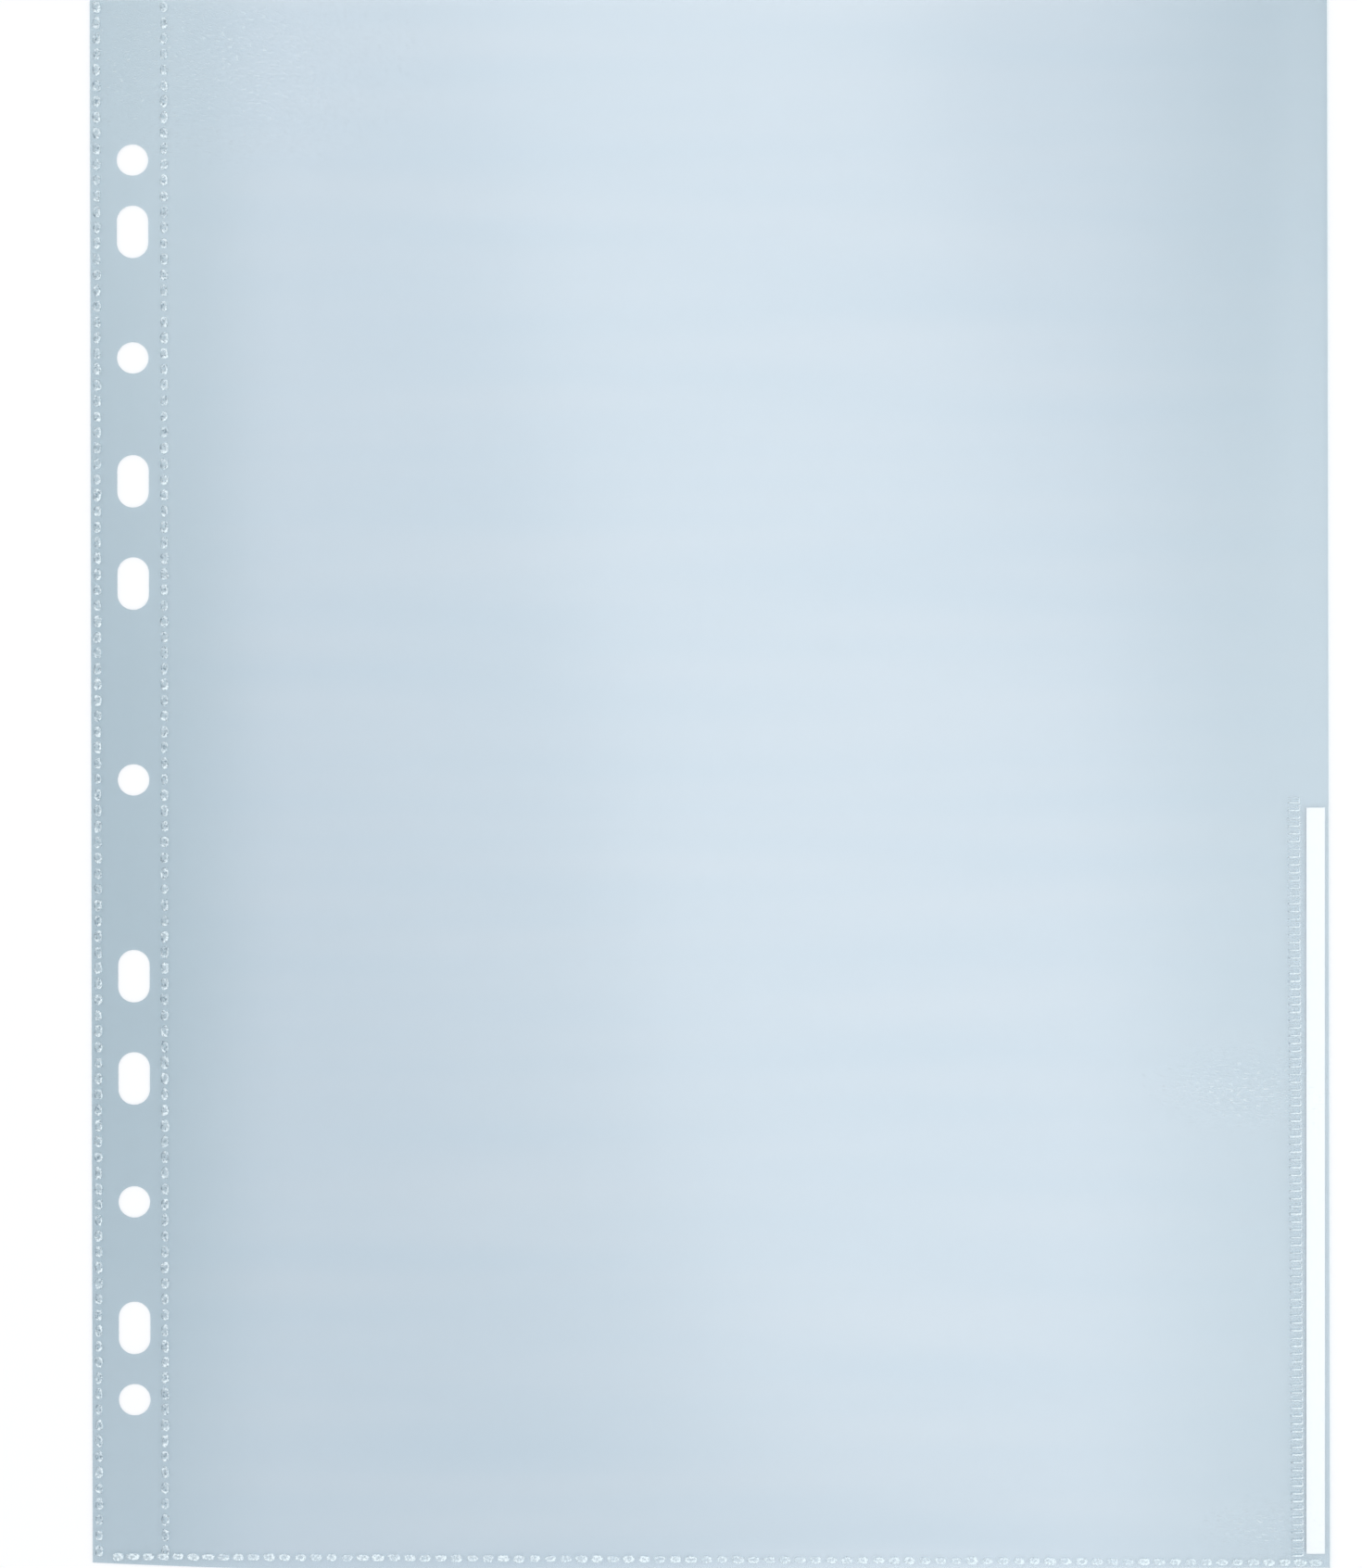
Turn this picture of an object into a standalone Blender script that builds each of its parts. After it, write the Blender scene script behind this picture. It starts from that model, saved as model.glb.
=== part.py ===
# Clear punched pocket for ring binders, with a channel for an index label.
# One web of film is folded at the right, welded along the bottom and along the punched margin,
# and stays open at the top. It lies on its back film, with the mouth towards +Y, the binding
# margin towards -X and the middle of its outline at the origin. All sizes here are in mm.
import math

import bmesh
import bpy
from mathutils import Matrix, Vector

# Outline and film
POCKET_WIDTH = 240.0
POCKET_HEIGHT = 304.0
FILM = 0.15  # thickness of one layer
LAYER_GAP = 0.1  # air between the two layers beside a weld
JOIN_GAP = 0.1  # a layer stops this far from the weld or fold that holds it
MOUTH_RISE = 6.5  # the front layer stands this far open in the middle of the mouth

# Punched holes, measured along the margin from the middle of the pattern
HOLE_FROM_EDGE = 8.2
HOLE_DIAMETER = 6.1
SLOT_LENGTH = 10.2
ROUND_HOLES = (-120.0, -81.7, 0.0, 81.7, 120.0)
SLOT_HOLES = (-106.1, -57.8, -38.0, 38.0, 57.8, 106.1)
PATTERN_SHIFT = 1.0  # the middle of the pattern lies this far above the middle of the sheet
HOLE_END_LAND = 4.0  # film left between the last hole and the end of the margin

# Weld dots, pressed into the front
DOT_WIDTH = 1.5  # across the row
DOT_LENGTH = 2.2  # along the row
DOT_SPACE = 0.85  # between two dots of a row
DOT_HEIGHT = 0.12
DOT_SLOPE = 0.3  # width of a dot's sloping side
GROOVE_DEPTH = 0.14  # dip across a weld between two dots
OUTER_LAND = 0.55  # flat weld on each side of the outer dots
INNER_LAND = 0.25
BOTTOM_LAND = 0.45
INNER_WELD_FROM_EDGE = 14.6  # middle of the inner row

# Crease on which the page turns
HINGE_GAP = 0.9

# Index label and the channel that holds it
LABEL_WIDTH = 3.6
LABEL_LENGTH = 144.4
LABEL_THICKNESS = 0.25
LABEL_FROM_EDGE = 1.3
LABEL_FACE_CLEARANCE = 0.15  # above and below the card
LABEL_SIDE_CLEARANCE = 0.3  # between the card and the ladder weld
LABEL_END_CLEARANCE = 0.4  # between the card and the bottom weld
CHANNEL_LENGTH = 146.7
RUNG_LENGTH = 2.4  # across the ladder weld
RUNG_WIDTH = 0.55
RUNG_SPACE = 0.95
RUNG_SLOPE = 0.15
LADDER_LAND = 0.3

# Smoothness of the curved shapes
HOLE_STEPS = 24
FOLD_STEPS = 8
ARCH_COLUMNS = 22
LOWER_ROWS = 8
UPPER_ROWS = 6

# Colours
FILM_COLOUR = (0.58, 0.69, 0.76)
WELD_COLOUR = (0.74, 0.82, 0.87)
LABEL_COLOUR = (0.93, 0.95, 0.96)

# Lines worked out from the sizes
left = -POCKET_WIDTH / 2
right = POCKET_WIDTH / 2
bottom = -POCKET_HEIGHT / 2
top = POCKET_HEIGHT / 2
seam_height = 2 * FILM + LAYER_GAP
channel_gap = LABEL_THICKNESS + 2 * LABEL_FACE_CLEARANCE
fold_radius = FILM + channel_gap / 2
outer_weld_end = left + DOT_WIDTH + 2 * OUTER_LAND
inner_weld_start = left + INNER_WELD_FROM_EDGE - DOT_WIDTH / 2 - INNER_LAND
inner_weld_end = left + INNER_WELD_FROM_EDGE + DOT_WIDTH / 2 + INNER_LAND
margin_from = outer_weld_end + JOIN_GAP
margin_to = inner_weld_start - JOIN_GAP
crease = inner_weld_end + HINGE_GAP / 2
page_left = inner_weld_end + HINGE_GAP
bottom_weld_end = bottom + DOT_WIDTH + 2 * BOTTOM_LAND
film_bottom = bottom_weld_end + JOIN_GAP
fold_start = right - fold_radius
film_right = fold_start - JOIN_GAP
label_right = right - LABEL_FROM_EDGE
label_left = label_right - LABEL_WIDTH
label_bottom = bottom_weld_end + LABEL_END_CLEARANCE
ladder_right = label_left - LABEL_SIDE_CLEARANCE
ladder_left = ladder_right - RUNG_LENGTH - 2 * LADDER_LAND
ladder_top = film_bottom + CHANNEL_LENGTH
notch_left = ladder_left - JOIN_GAP
notch_right = ladder_right + JOIN_GAP
notch_top = ladder_top + JOIN_GAP


def metres(value):
    return value / 1000


def own_material(name, colour, roughness):
    material = bpy.data.materials.new(name)
    material.use_nodes = True
    shader = material.node_tree.nodes["Principled BSDF"]
    shader.inputs["Base Color"].default_value = (*colour, 1.0)
    shader.inputs["Roughness"].default_value = roughness
    shader.inputs["Metallic"].default_value = 0.0
    return material


def mesh_data(name, mesh):
    data = bpy.data.meshes.new(name)
    mesh.to_mesh(data)
    mesh.free()
    return data


def add_piece(name, data, colour, roughness):
    data.materials.append(own_material(name, colour, roughness))
    piece = bpy.data.objects.new(name, data)
    pocket.objects.link(piece)
    return piece


# A flat piece is an outline, filled and given its thickness
def flat_piece(name, outline, base, thickness, colour, roughness):
    curve = bpy.data.curves.new(name, "CURVE")
    curve.dimensions = "2D"
    curve.fill_mode = "BOTH"
    curve.extrude = metres(thickness / 2)
    spline = curve.splines.new("POLY")
    spline.points.add(len(outline) - 1)
    for point, (x, y) in zip(spline.points, outline):
        point.co = (metres(x), metres(y), 0.0, 1.0)
    spline.use_cyclic_u = True
    piece = add_piece(name, curve, colour, roughness)
    piece.location.z = metres(base + thickness / 2)
    return piece


def rectangle(x_from, x_to, y_from, y_to):
    return [(x_from, y_from), (x_to, y_from), (x_to, y_to), (x_from, y_to)]


def arc(x, y, radius, start, end, steps):
    angles = [start + (end - start) * i / steps for i in range(steps + 1)]
    return [(x + radius * math.cos(a), y + radius * math.sin(a)) for a in angles]


# Where each hole lies along the margin and how long it is; a hole of the pattern that would
# come too near an end of the margin is left out
def margin_holes():
    found = []
    for places, length in ((ROUND_HOLES, HOLE_DIAMETER), (SLOT_HOLES, SLOT_LENGTH)):
        for place in places:
            y = place + PATTERN_SHIFT
            land = HOLE_END_LAND + length / 2
            if film_bottom + land < y < top - land:
                found.append((y, length))
    return found


# The punch has a prism for each hole, drawn apart along Y for a slot, through both layers
def hole_punch(name):
    mesh = bmesh.new()
    radius = metres(HOLE_DIAMETER / 2 / math.cos(math.pi / HOLE_STEPS))
    turned = Matrix.Rotation(math.pi / HOLE_STEPS, 4, "Z")
    for y, length in margin_holes():
        prism = bmesh.ops.create_cone(
            mesh, cap_ends=True, segments=HOLE_STEPS, radius1=radius, radius2=radius,
            depth=metres(4 * seam_height), matrix=turned)["verts"]
        reach = (length - HOLE_DIAMETER) / 2
        for vertex in prism:
            end = reach if vertex.co.y > 0 else -reach
            vertex.co += Vector((metres(left + HOLE_FROM_EDGE), metres(y + end), 0.0))
    punch = bpy.data.objects.new(name, mesh_data(name, mesh))
    punch.hide_render = True
    punch.display_type = "WIRE"
    cutters.objects.link(punch)
    return punch


# A layer of the margin is a plate with the holes cut through it
def punched_film(name, base, punch):
    mesh = bmesh.new()
    bmesh.ops.create_cube(mesh, size=1.0)
    width = metres(margin_to - margin_from)
    length = metres(top - film_bottom)
    bmesh.ops.scale(mesh, verts=mesh.verts[:], vec=(width, length, metres(FILM)))
    piece = add_piece(name, mesh_data(name, mesh), FILM_COLOUR, 0.15)
    middle = (margin_from + margin_to) / 2, (film_bottom + top) / 2, base + FILM / 2
    piece.location = [metres(value) for value in middle]
    holes = piece.modifiers.new("holes", "BOOLEAN")
    holes.operation = "DIFFERENCE"
    holes.solver = "EXACT"
    holes.object = punch
    return piece


# A grid of faces on the given lines, at the height that the function gives
def grid(columns, rows, height):
    mesh = bmesh.new()
    across = len(columns) - 1
    along = len(rows) - 1
    bmesh.ops.create_grid(mesh, x_segments=across, y_segments=along, size=1.0)
    for vertex in mesh.verts:
        x = columns[round((vertex.co.x + 1) / 2 * across)]
        y = rows[round((vertex.co.y + 1) / 2 * along)]
        vertex.co = (metres(x), metres(y), metres(height(x, y)))
    return mesh


def lines(start, end, steps):
    return [start + (end - start) * i / steps for i in range(steps + 1)]


# The edges of each dot of a row that is centred between two ends, with the middle of each space
def dot_lines(start, end, length, space):
    count = int((end - start - space) // (length + space))
    used = count * (length + space) - space
    first = (start + end - used) / 2
    edges = [start]
    for i in range(count):
        dot = first + i * (length + space)
        edges += [dot, dot + length, dot + length + space / 2]
    edges[-1] = end
    return edges


# A weld is a strip of fused film with dots raised on its front and a groove across each space.
# Of every three cells, counted both ways, the middle one is a dot.
def weld_strip(name, columns, rows, height, slope):
    along_x = len(columns) > len(rows)
    grooves = set((columns if along_x else rows)[::3])

    def front(x, y):
        return height - (GROOVE_DEPTH if (x if along_x else y) in grooves else 0.0)

    mesh = grid(columns, rows, front)
    lower = bmesh.ops.extrude_face_region(mesh, geom=mesh.faces[:])["geom"]
    for item in lower:
        if isinstance(item, bmesh.types.BMVert):
            item.co.z = 0.0
    bmesh.ops.recalc_face_normals(mesh, faces=mesh.faces[:])
    dots = []
    for face in mesh.faces:
        middle = face.calc_center_median()
        column = sum(metres(x) < middle.x for x in columns)
        row = sum(metres(y) < middle.y for y in rows)
        if face.normal.z > 0.5 and column % 3 == 2 and row % 3 == 2:
            dots.append(face)
    bmesh.ops.inset_individual(mesh, faces=dots, thickness=metres(slope), depth=metres(DOT_HEIGHT))
    return add_piece(name, mesh_data(name, mesh), WELD_COLOUR, 0.35)


# Underside of the front film: flat over the channel, and bowed up towards the mouth elsewhere
def front_height(x, y):
    across = min((x - page_left) / (notch_left - page_left), 1.0)
    along = (y - film_bottom) / (top - film_bottom)
    gap = LAYER_GAP + (channel_gap - LAYER_GAP) * across * across * (3 - 2 * across)
    bow = max(math.sin(math.pi * across), 0.0) ** 1.5 * (1 - (1 - along) ** 3)
    return FILM + gap + MOUTH_RISE * bow


def bowed_film(name):
    columns = lines(page_left, notch_left, ARCH_COLUMNS) + [notch_right, film_right]
    rows = lines(film_bottom, notch_top, LOWER_ROWS) + lines(notch_top, top, UPPER_ROWS)[1:]
    mesh = grid(columns, rows, front_height)
    notch = []
    for face in mesh.faces:
        middle = face.calc_center_median()
        if metres(notch_left) < middle.x < metres(notch_right) and middle.y < metres(notch_top):
            notch.append(face)
    bmesh.ops.delete(mesh, geom=notch, context="FACES")
    data = mesh_data(name, mesh)
    data.shade_smooth()
    piece = add_piece(name, data, FILM_COLOUR, 0.15)
    wall = piece.modifiers.new("film", "SOLIDIFY")
    wall.thickness = metres(FILM)
    wall.offset = 1.0
    return piece


# The fold is a half round of film, drawn on end and stood along Y
def folded_edge(name):
    outer = arc(fold_start, fold_radius, fold_radius, -math.pi / 2, math.pi / 2, FOLD_STEPS)
    inner = arc(fold_start, fold_radius, fold_radius - FILM, math.pi / 2, -math.pi / 2, FOLD_STEPS)
    piece = flat_piece(name, outer + inner, 0.0, POCKET_HEIGHT, FILM_COLOUR, 0.15)
    piece.rotation_euler.x = math.pi / 2
    piece.location.z = 0.0
    return piece


# A joint mark is an empty on the joint's axis that carries the pieces which move there
def joint_mark(name, x, y, z, pieces):
    mark = bpy.data.objects.new(name, None)
    mark.location = (metres(x), metres(y), metres(z))
    pocket.objects.link(mark)
    bpy.context.view_layer.update()
    for piece in pieces:
        piece.parent = mark
        piece.matrix_parent_inverse = mark.matrix_world.inverted()


for old in list(bpy.data.objects):
    bpy.data.objects.remove(old, do_unlink=True)
pocket = bpy.data.collections.new("punched_pocket")
bpy.context.scene.collection.children.link(pocket)
cutters = bpy.data.collections.new("cutters")
bpy.context.scene.collection.children.link(cutters)

# Binding margin
punch = hole_punch("hole_punch")
punched_film("margin_back_film", 0.0, punch)
punched_film("margin_front_film", FILM + LAYER_GAP, punch)

long_rows = dot_lines(bottom, top, DOT_LENGTH, DOT_SPACE)
outer_columns = [left, left + OUTER_LAND, outer_weld_end - OUTER_LAND, outer_weld_end]
inner_columns = [inner_weld_start, inner_weld_start + INNER_LAND]
inner_columns += [inner_weld_end - INNER_LAND, inner_weld_end]
weld_strip("outer_margin_weld", outer_columns, long_rows, seam_height, DOT_SLOPE)
weld_strip("inner_margin_weld", inner_columns, long_rows, seam_height, DOT_SLOPE)

bottom_rows = [bottom, bottom + BOTTOM_LAND, bottom_weld_end - BOTTOM_LAND, bottom_weld_end]
short_columns = dot_lines(margin_from, margin_to, DOT_LENGTH, DOT_SPACE)
weld_strip("margin_bottom_weld", short_columns, bottom_rows, seam_height, DOT_SLOPE)

# Page
notched = rectangle(page_left, film_right, film_bottom, top)[1:]
notched += [(page_left, film_bottom), (notch_left, film_bottom), (notch_left, notch_top)]
notched += [(notch_right, notch_top), (notch_right, film_bottom)]
back_film = flat_piece("back_film", notched, 0.0, FILM, FILM_COLOUR, 0.15)
front_film = bowed_film("front_film")
edge_fold = folded_edge("edge_fold")

page_columns = dot_lines(page_left, film_right, DOT_LENGTH, DOT_SPACE)
bottom_weld = weld_strip("bottom_weld", page_columns, bottom_rows, seam_height, DOT_SLOPE)

ladder_columns = [ladder_left, ladder_left + LADDER_LAND]
ladder_columns += [ladder_right - LADDER_LAND, ladder_right]
ladder_rows = dot_lines(film_bottom, ladder_top, RUNG_WIDTH, RUNG_SPACE)
ladder_height = 2 * FILM + channel_gap
label_weld = weld_strip("label_weld", ladder_columns, ladder_rows, ladder_height, RUNG_SLOPE)

page = [back_film, front_film, edge_fold, bottom_weld, label_weld]
joint_mark("page_crease", crease, 0.0, seam_height / 2, page)

# Index label
label_outline = rectangle(label_left, label_right, label_bottom, label_bottom + LABEL_LENGTH)
label_base = FILM + LABEL_FACE_CLEARANCE
label = flat_piece("index_label", label_outline, label_base, LABEL_THICKNESS, LABEL_COLOUR, 0.6)
label_x = (label_left + label_right) / 2
joint_mark("label_path", label_x, label_bottom, label_base + LABEL_THICKNESS / 2, [label])
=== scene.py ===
import math

import bpy
import numpy as np
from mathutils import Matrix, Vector


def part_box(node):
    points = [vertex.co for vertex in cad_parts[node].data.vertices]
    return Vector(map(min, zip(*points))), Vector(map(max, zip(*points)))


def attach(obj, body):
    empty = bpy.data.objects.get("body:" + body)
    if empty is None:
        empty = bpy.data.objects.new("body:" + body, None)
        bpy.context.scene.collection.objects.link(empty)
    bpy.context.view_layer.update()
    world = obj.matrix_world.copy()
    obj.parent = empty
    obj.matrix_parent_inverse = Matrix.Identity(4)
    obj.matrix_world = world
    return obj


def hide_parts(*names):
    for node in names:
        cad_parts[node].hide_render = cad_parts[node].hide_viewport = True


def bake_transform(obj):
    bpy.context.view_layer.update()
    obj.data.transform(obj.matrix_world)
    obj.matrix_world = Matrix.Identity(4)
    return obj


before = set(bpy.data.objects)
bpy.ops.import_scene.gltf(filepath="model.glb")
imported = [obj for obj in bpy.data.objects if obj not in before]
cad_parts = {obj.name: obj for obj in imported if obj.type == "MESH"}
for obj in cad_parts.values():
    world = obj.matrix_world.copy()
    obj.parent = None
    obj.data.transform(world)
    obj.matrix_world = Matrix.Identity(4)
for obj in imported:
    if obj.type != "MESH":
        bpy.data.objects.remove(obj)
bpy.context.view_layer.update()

mm = 0.001
rng = np.random.default_rng(7)
print("frame loaded,", len(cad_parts), "nodes")


# small helpers

def toLinear(hexColour):
    channels = [int(hexColour[i:i + 2], 16) / 255 for i in (1, 3, 5)]
    return tuple(c / 12.92 if c <= 0.04045 else ((c + 0.055) / 1.055) ** 2.4 for c in channels) + (1.0,)


def addNode(tree, kind, values={}, links={}, **settings):
    node = tree.nodes.new(kind)
    for name, value in settings.items():
        setattr(node, name, value)
    for key, value in values.items():
        node.inputs[key].default_value = value
    for key, socket in links.items():
        tree.links.new(socket, node.inputs[key])
    return node


def newMaterial(name):
    material = bpy.data.materials.new(name)
    material.use_nodes = True
    material.node_tree.nodes.clear()
    return material, material.node_tree


def smooth(t):
    t = np.clip(t, 0.0, 1.0)
    return t * t * (3 - 2 * t)


# scale of a pattern whose cells have these sizes
def cellScale(*sizes):
    return tuple(1 / size for size in sizes)


def meshPiece(name, points, faces, *materials):
    mesh = bpy.data.meshes.new(name)
    mesh.from_pydata(points.tolist(), [], faces)
    for material in materials:
        mesh.materials.append(material)
    piece = bpy.data.objects.new(name, mesh)
    bpy.context.scene.collection.objects.link(piece)
    return piece


def smoothFaces(mesh, sharpDegrees):
    mesh.shade_smooth()
    mesh.set_sharp_from_angle(angle=math.radians(sharpDegrees))


# quads of a grid whose points are numbered row by row; wrapped closes each row
def gridQuads(rows, columns, wrapped=False):
    number = np.arange(rows * columns).reshape(rows, columns)
    if wrapped:
        number = np.concatenate([number, number[:, :1]], axis=1)
    return np.stack([number[:-1, :-1], number[:-1, 1:], number[1:, 1:], number[1:, :-1]], -1).reshape(-1, 4)


# lines that every piece is placed by, read from the solids
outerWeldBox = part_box("outer_margin_weld")
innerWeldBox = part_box("inner_margin_weld")
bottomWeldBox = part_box("bottom_weld")
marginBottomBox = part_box("margin_bottom_weld")
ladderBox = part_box("label_weld")
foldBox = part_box("edge_fold")
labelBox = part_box("index_label")
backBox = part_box("back_film")
left, bottom = outerWeldBox[0].x, outerWeldBox[0].y
right, top = foldBox[1].x, foldBox[1].y
creaseFrom, creaseTo = innerWeldBox[1].x, backBox[0].x
foldRadius = foldBox[1].z / 2
foldStart = right - foldRadius
sheetBottom = backBox[0].y

film = dict(
    thickness=0.15 * mm,
    layerGap=0.10 * mm,     # air between the layers beside a weld
    channelGap=0.55 * mm,   # air round the label
    mouthRise=6.5 * mm,     # bow of the front layer at the mouth
    cornerPull=1.5 * mm,    # the lower left corner is drawn up a little
    cornerReach=46 * mm,    # along the lower edge
    cornerFade=1.6 * mm,    # and up the sheet
    rowSpacing=3.0 * mm,
    marginColumns=11,
    creaseColumns=9,
    pageColumns=76,
    channelColumns=7,
    foldSteps=13,
    mergeWithin=0.002 * mm,
    sharpDegrees=50,
)
holes = dict(
    x=left + 8.2 * mm,
    radius=3.05 * mm,
    slotReach=2.05 * mm,    # half the straight side of a slot
    middle=1.0 * mm,        # middle of the pattern above the sheet's middle
    round=[-120.0, -81.7, 0.0, 81.7, 120.0],
    slots=[-106.1, -57.8, -38.0, 38.0, 57.8, 106.1],
    land=2.2 * mm,          # film round a hole that has its own rows
    roundSteps=10,
    slotSteps=14,
    rings=5,
    ringCrowding=1.6,       # power that crowds the rings towards the hole
)


# underside of the front layer: level over the margin and the channel, bowed up between them,
# as the 1.5th power of a half sine across the pocket times a cubic rise towards the mouth
def frontHeight(x, y):
    across = np.clip((x - creaseTo) / (ladderBox[0].x - creaseTo), 0.0, 1.0)
    along = np.clip((y - sheetBottom) / (top - sheetBottom), 0.0, 1.0)
    gap = film["layerGap"] + (film["channelGap"] - film["layerGap"]) * smooth(across)
    bow = np.sin(np.pi * across) ** 1.5 * (1 - (1 - along) ** 3)
    return film["thickness"] + gap + film["mouthRise"] * bow


def backHeight(x, y):
    return np.zeros_like(x)


# rows across the sheet: each hole has a block of its own rows, with even rows between the blocks
def sheetRows():
    spots = [(y * mm + holes["middle"], 0.0, holes["roundSteps"]) for y in holes["round"]]
    spots += [(y * mm + holes["middle"], holes["slotReach"], holes["slotSteps"]) for y in holes["slots"]]
    spots.sort()
    rows, blocks, at = [np.array([bottom])], [], bottom
    for y, reach, steps in spots + [(None, 0.0, 0)]:
        low = top if y is None else y - reach - holes["radius"] - holes["land"]
        count = max(1, round((low - at) / film["rowSpacing"]))
        rows.append(np.linspace(at, low, count + 1)[1:])
        if y is None:
            break
        at = y + reach + holes["radius"] + holes["land"]
        first = sum(len(r) for r in rows) - 1
        rows.append(np.linspace(low, at, steps + 1)[1:])
        blocks.append((first, first + steps, y, reach))
    return np.concatenate(rows), blocks


# a hole's block is a ring grid: each point of the block's outline is joined to the nearest point
# of the hole by a straight line, divided more finely towards the hole
def holeBlock(columns, rows, y, reach):
    side = np.concatenate([
        np.stack([columns, np.full_like(columns, rows[0])], -1)[:-1],
        np.stack([np.full_like(rows, columns[-1]), rows], -1)[:-1],
        np.stack([columns[::-1], np.full_like(columns, rows[-1])], -1)[:-1],
        np.stack([np.full_like(rows, columns[0]), rows[::-1]], -1)[:-1],
    ])
    centre = np.stack([np.full(len(side), holes["x"]), np.clip(side[:, 1], y - reach, y + reach)], -1)
    away = side - centre
    rim = centre + holes["radius"] * away / np.linalg.norm(away, axis=1, keepdims=True)
    step = (np.linspace(0, 1, holes["rings"] + 1) ** holes["ringCrowding"])[:, None, None]
    points = rim + (side - rim) * step
    quads = gridQuads(holes["rings"] + 1, len(side), wrapped=True)
    return points.reshape(-1, 2), quads[:, ::-1]


# a layer of film: the punched margin, the crease and the page on shared rows, then the fold as a
# half circle; points that coincide are merged and the sheet gets its thickness
def filmSheet(name, height, withFold, outside, inside):
    rows, blocks = sheetRows()
    marginColumns = np.linspace(left, creaseFrom, film["marginColumns"])
    parts, faces, count = [], [], 0

    def add(points, quads):
        nonlocal count
        parts.append(points)
        faces.append(quads + count)
        count += len(points)

    def addGrid(columns, lines):
        x, y = np.meshgrid(columns, lines)
        add(np.stack([x.ravel(), y.ravel()], -1), gridQuads(len(lines), len(columns)))

    at = 0
    for first, last, y, reach in blocks:
        addGrid(marginColumns, rows[at:first + 1])
        add(*holeBlock(marginColumns, rows[first:last + 1], y, reach))
        at = last
    addGrid(marginColumns, rows[at:])
    pageColumns = np.concatenate([
        np.linspace(creaseFrom, creaseTo, film["creaseColumns"])[:-1],
        np.linspace(creaseTo, ladderBox[0].x, film["pageColumns"])[:-1],
        np.linspace(ladderBox[0].x, foldStart, film["channelColumns"]),
    ])
    addGrid(pageColumns, rows)
    flat = np.concatenate(parts)
    points = np.column_stack([flat, height(flat[:, 0], flat[:, 1])])
    if withFold:
        inner = foldRadius - film["thickness"]
        turn, y = np.meshgrid(np.linspace(0, np.pi, film["foldSteps"]), rows)
        fold = np.stack([foldStart + inner * np.sin(turn), y, foldRadius + inner * np.cos(turn)], -1)
        faces.append(gridQuads(len(rows), film["foldSteps"]) + len(points))
        points = np.concatenate([points, fold.reshape(-1, 3)])

    # the corner's lift falls off as the 1.5th power along the lower edge and exponentially up the sheet
    pull = film["cornerPull"] * np.clip(1 - (points[:, 0] - left) / film["cornerReach"], 0, 1) ** 1.5
    points[:, 1] += pull * np.exp((bottom - points[:, 1]) / film["cornerFade"])
    quads = np.concatenate(faces)
    steps = np.round(points / film["mergeWithin"]).astype(np.int64)
    _, keep, merged = np.unique(steps, axis=0, return_index=True, return_inverse=True)
    sheet = meshPiece(name, points[keep], merged.ravel()[quads].tolist(), outside, inside)
    wall = sheet.modifiers.new("thickness", "SOLIDIFY")
    wall.thickness = film["thickness"]
    wall.offset = 1.0
    wall.use_even_offset = True
    shell = bpy.data.meshes.new_from_object(sheet.evaluated_get(bpy.context.evaluated_depsgraph_get()))
    shell.name = name
    sheet.modifiers.clear()
    sheet.data = shell
    smoothFaces(shell, film["sharpDegrees"])

    # the faces that the film had before it got its thickness are its lower side
    slotOf = np.zeros(len(shell.polygons), np.int32)
    lower, upper = slice(0, len(quads)), slice(len(quads), 2 * len(quads))
    slotOf[lower if withFold else upper] = 1
    shell.polygons.foreach_set("material_index", slotOf)
    return sheet


filmLook = dict(
    dieLine=(16.6667 * mm, 0.66667 * mm),   # length and width of the lines that the die leaves
    dieStrength=0.12,
    dieDepth=0.02 * mm,
    streak=(1.31579 * mm, 0.294118 * mm),   # length and width of a painted glint streak
    streakFrom=0.7,         # the noise above this shows as a streak
    streakTo=0.86,
    milk="#f2f8fc",
    haze=0.006,             # milk all over the film
    gloss=0.08,             # both faces of the thin film shine, and the outer one carries the gloss of the two
    roughness=0.2,
)
glintPatches = [    # middle and half size of each patch of painted glints, and how white its streaks are
    dict(x=-94 * mm, y=141 * mm, across=60 * mm, along=28 * mm, white=0.18),
    dict(x=104 * mm, y=-59 * mm, across=25 * mm, along=12 * mm, white=0.27),
    dict(x=107 * mm, y=-144 * mm, across=15 * mm, along=8 * mm, white=0.25),
]
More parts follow.
